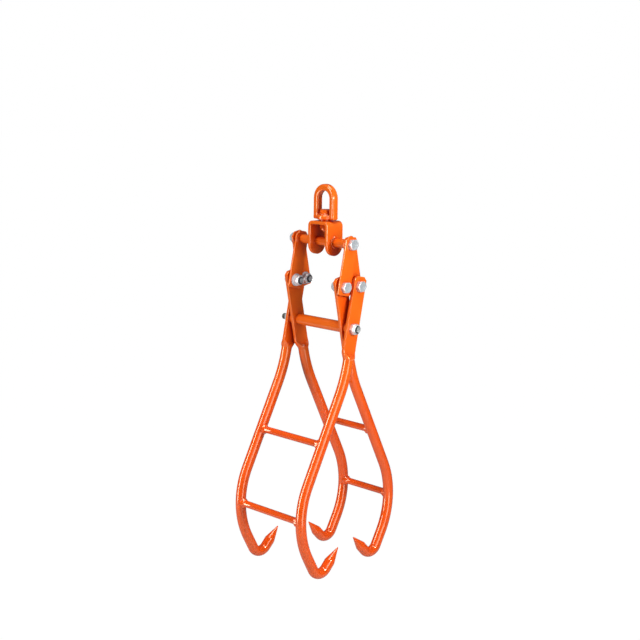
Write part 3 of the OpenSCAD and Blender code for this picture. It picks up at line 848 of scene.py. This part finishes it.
def make_yoke():
    """The strip with rounded leg ends, bored for the swivel and the crosstube."""
    bm = bmesh.new()
    rows = []
    w = YOKE_W / 2
    for y, z, a, s in yoke_path():
        half = w if s >= w else math.sqrt(max(0.0, w * w - (w - s) ** 2))
        half = max(half, 1.2)
        n = Vector((0, math.cos(math.radians(a)), math.sin(math.radians(a))))
        out = Vector((0, y, z))
        rows.append([bm.verts.new((out - n * d + Vector((x, 0, 0))) * MM)
                     for d, x in ((0, -half), (0, half), (YOKE_T, half), (YOKE_T, -half))])
    for low, high in zip(rows, rows[1:]):
        for i in range(4):
            j = (i + 1) % 4
            bm.faces.new((low[i], low[j], high[j], high[i]))
    bm.faces.new(rows[0])
    bm.faces.new(rows[-1])
    yoke = make_object("yoke_bent", bm, [ORANGE])
    bevel(yoke, 0.8, 50.0)
    cut_hole(yoke, Matrix.Translation((0, 0, YOKE_TOP - YOKE_T / 2)), HOLE_R, YOKE_T)
    cut_hole(yoke, to_back(0, 0, TOP_Z), TUBE_R, YOKE_SPAN)
    yoke.data.set_sharp_from_angle(angle=math.radians(40))
    dress(yoke, "yoke", "orange_paint", "yoke")


# Lifting eye: a forged D over a flat base

def eye_rings():
    """Rings of the D: up one side, over the half-round top and down the other side."""
    inner = EYE_W / 2 - EYE_BAR
    mid = inner + EYE_BAR / 2
    section = rounded_box(EYE_BAR / 2, -EYE_T / 2, EYE_T / 2, EYE_EDGE)
    heights = (EYE_BOTTOM + 3, EYE_BOTTOM + 12, -inner - 8)
    rings = []
    for z in heights:
        rings.append([(v, -mid + u, z) for u, v in section])
    for k in range(33):
        t = math.pi - math.pi * k / 32
        c, s = math.cos(t), math.sin(t)
        rings.append([(v, (mid - u) * c, -inner + (mid - u) * s) for u, v in section])
    for z in reversed(heights):
        rings.append([(v, mid - u, z) for u, v in section])
    return rings


def eye_base():
    """The flat base with rounded upper and lower edges, as (height, how much smaller) from its outline."""
    base = rounded_box(EYE_W / 2, -EYE_T / 2, EYE_T / 2, 3.0)
    low_edge = [(0, 2.0), (0.6, 0.9), (2, 0.0)]
    high_edge = [(EYE_BASE - 2, 0.0), (EYE_BASE - 0.6, 0.5), (EYE_BASE, 1.2)]
    rings = []
    for z, shrink in low_edge + high_edge:
        f, g = (EYE_W / 2 - shrink) / (EYE_W / 2), (EYE_T / 2 - shrink) / (EYE_T / 2)
        rings.append([(y * g, x * f, EYE_BOTTOM + z) for x, y in base])
    return loft("eye_base", rings, [ORANGE])


def eye_pad():
    """The round pad about the swivel's bore."""
    low, high = 1, 1.5
    profile = [(EYE_PAD_R - low, 0), (EYE_PAD_R, low),
               (EYE_PAD_R, EYE_BASE - high), (EYE_PAD_R - high, EYE_BASE)]
    return revolve("eye_pad", profile, Matrix.Translation((0, 0, EYE_BOTTOM)), [ORANGE])


# The grid in millimetres on which the eye's parts are blended
EYE_VOXEL = 0.75


def blend(obj, parts):
    """Joins the parts to the object and softens where they meet, as forging does."""
    for part in parts:
        mod = obj.modifiers.new("join", "BOOLEAN")
        mod.operation = "UNION"
        mod.solver = "EXACT"
        mod.object = part
    remesh = obj.modifiers.new("blend", "REMESH")
    remesh.mode = "VOXEL"
    remesh.voxel_size = EYE_VOXEL * MM
    remesh.use_smooth_shade = True
    soft = obj.modifiers.new("soften", "SMOOTH")
    soft.factor = 0.5
    soft.iterations = 6
    apply_modifiers(obj)
    for part in parts:
        discard(part)


def make_eye():
    ring = loft("eye_ring", eye_rings(), [ORANGE])
    blend(ring, [eye_base(), eye_pad()])
    ring.name = "lifting_eye_forged"
    dress(ring, "eye", "orange_paint", "lifting_eye")


def make_swivel():
    """The bolt through the eye's base and the yoke's top, with its two washers and its nut."""
    bearing = -EYE_OPEN + WASHER_T
    nut_z = YOKE_TOP - YOKE_T - PLAY
    length = bearing - nut_z + NUT_H + COLLAR_H + THREAD_OUT
    dress(hex_bolt("swivel_bolt_hex", length, Matrix.Translation((0, 0, bearing)) @ FLIP_Z, ORANGE),
          "eye", "orange_paint", "swivel_bolt")
    for name, z, thickness, edge in (("swivel_head_washer", -EYE_OPEN, WASHER_T, 0.7),
                                     ("swivel_thrust_washer", EYE_BOTTOM - THRUST_T, THRUST_T, 0.5)):
        place = Matrix.Translation((0, 0, z))
        dress(washer(name + "_ring", place, WASHER_R, HOLE_R, thickness, ORANGE, edge),
              "eye", "orange_paint", name)
    dress(lock_nut("swivel_nut_hex", Matrix.Translation((0, 0, nut_z)) @ FLIP_Z, ORANGE),
          "eye", "orange_paint", "swivel_nut")


# Stage, light and camera

# The floor: how much of what the camera sees is plain glow, and the glow's strength
WHITE_SHARE, WHITE_GLOW = 0.97, 1.03
# Its size and height in metres, its grey and its roughness
FLOOR_SIZE, FLOOR_Z, FLOOR_GREY, FLOOR_ROUGH = 60, -1.05, 0.5, 0.8


def white_to_camera(mat, lit):
    """Shows the floor as white glow with a little of its own shade to the camera, and as it is to other rays.

    The share and the glow together lie at the white limit, so the object's shadow doesn't show.
    """
    path = add(mat, "ShaderNodeLightPath")
    glow = add(mat, "ShaderNodeEmission", Strength=WHITE_GLOW)
    part = add(mat, "ShaderNodeMath", operation="MULTIPLY")
    part.inputs[1].default_value = WHITE_SHARE
    mix = add(mat, "ShaderNodeMixShader")
    link(mat, path.outputs["Is Camera Ray"], part.inputs[0])
    link(mat, part.outputs[0], mix.inputs["Fac"])
    link(mat, lit.outputs[0], mix.inputs[1])
    link(mat, glow.outputs[0], mix.inputs[2])
    link(mat, mix.outputs[0], mat.node_tree.nodes["Material Output"].inputs["Surface"])


def make_floor():
    bpy.ops.mesh.primitive_plane_add(size=FLOOR_SIZE, location=(0, 0, FLOOR_Z))
    floor = bpy.context.object
    floor.name = "floor"
    mat, node = shader("floor_paper", (FLOOR_GREY, FLOOR_GREY, FLOOR_GREY), FLOOR_ROUGH)
    white_to_camera(mat, node)
    floor.data.materials.append(mat)


WORLD_LIGHT = 0.1


def make_world():
    """A dim white world for the light, which the camera sees at full strength."""
    world = bpy.data.worlds.new("world")
    bpy.context.scene.world = world
    world.use_nodes = True
    tree = world.node_tree
    back = tree.nodes["Background"]
    back.inputs["Color"].default_value = (1, 1, 1, 1)
    back.inputs["Strength"].default_value = WORLD_LIGHT
    seen = tree.nodes.new("ShaderNodeBackground")
    seen.inputs["Color"].default_value = (1, 1, 1, 1)
    path = tree.nodes.new("ShaderNodeLightPath")
    mix = tree.nodes.new("ShaderNodeMixShader")
    tree.links.new(path.outputs["Is Camera Ray"], mix.inputs["Fac"])
    tree.links.new(back.outputs[0], mix.inputs[1])
    tree.links.new(seen.outputs[0], mix.inputs[2])
    tree.links.new(mix.outputs[0], tree.nodes["World Output"].inputs["Surface"])


# The point that most lamps face
MIDDLE = (0, 0, -0.35)
# Each lamp's name, place, target, size in metres and power in watts
LAMPS = [
    ("key", (0.05, -1.1, 0.12), (0, 0, -0.1), (0.3, 0.3), 11),
    ("strip", (-0.4, -1.35, -0.45), MIDDLE, (0.6, 1.5), 9),
    ("fill", (-1.6, -2.4, 0.9), MIDDLE, (1.2, 1.2), 4),
    ("left", (-1.7, 0.85, -0.1), MIDDLE, (0.5, 2.2), 32),
    ("top", (-0.3, -0.2, 2.0), MIDDLE, (1.2, 1.2), 34),
]


def area_light(name, where, target, size, power):
    data = bpy.data.lights.new(name, "AREA")
    data.shape = "RECTANGLE"
    data.size, data.size_y = size
    data.energy = power
    lamp = bpy.data.objects.new(name, data)
    bpy.context.scene.collection.objects.link(lamp)
    lamp.location = where
    lamp.rotation_euler = (Vector(target) - Vector(where)).to_track_quat("-Z", "Y").to_euler()


# The camera's angles about the main pivot in degrees
AZIMUTH, ELEVATION, ROLL = -44.04, 9.725, 0.734
# Its shift in its own picture plane and its distance, in millimetres
SHIFT_RIGHT, SHIFT_UP, DISTANCE = -3.08, 5.67, 2531.8
# Focal length and picture width in pixels, sensor width in millimetres, far limit in metres
FOCAL, PICTURE, SENSOR, FAR = 1330.1, 640, 36, 50


def make_camera():
    """The photograph's viewpoint."""
    azimuth, elevation, roll = math.radians(AZIMUTH), math.radians(ELEVATION), math.radians(ROLL)
    target = Vector((0, MIDDLE_Y * MM, MAIN_Z * MM))
    back = Vector((math.sin(azimuth) * math.cos(elevation), -math.cos(azimuth) * math.cos(elevation),
                   math.sin(elevation)))
    right = Vector((math.cos(azimuth), math.sin(azimuth), 0))
    up = back.cross(right)
    side_x = right * math.cos(roll) + up * math.sin(roll)
    side_y = -right * math.sin(roll) + up * math.cos(roll)
    where = target + (back * DISTANCE + side_x * SHIFT_RIGHT + side_y * SHIFT_UP) * MM
    data = bpy.data.cameras.new("camera")
    camera = bpy.data.objects.new("camera", data)
    bpy.context.scene.collection.objects.link(camera)
    camera.matrix_world = Matrix(((side_x.x, side_y.x, back.x, where.x),
                                  (side_x.y, side_y.y, back.y, where.y),
                                  (side_x.z, side_y.z, back.z, where.z),
                                  (0, 0, 0, 1)))
    data.sensor_width = SENSOR
    data.lens = FOCAL / PICTURE * SENSOR
    data.clip_end = FAR
    bpy.context.scene.camera = camera


make_frames()
make_rungs()
make_links()
make_fasteners()
make_tubes()
make_yoke()
make_eye()
make_swivel()
make_floor()
make_world()
for lamp in LAMPS:
    area_light(*lamp)
make_camera()
bpy.context.scene.view_settings.view_transform = "Standard"
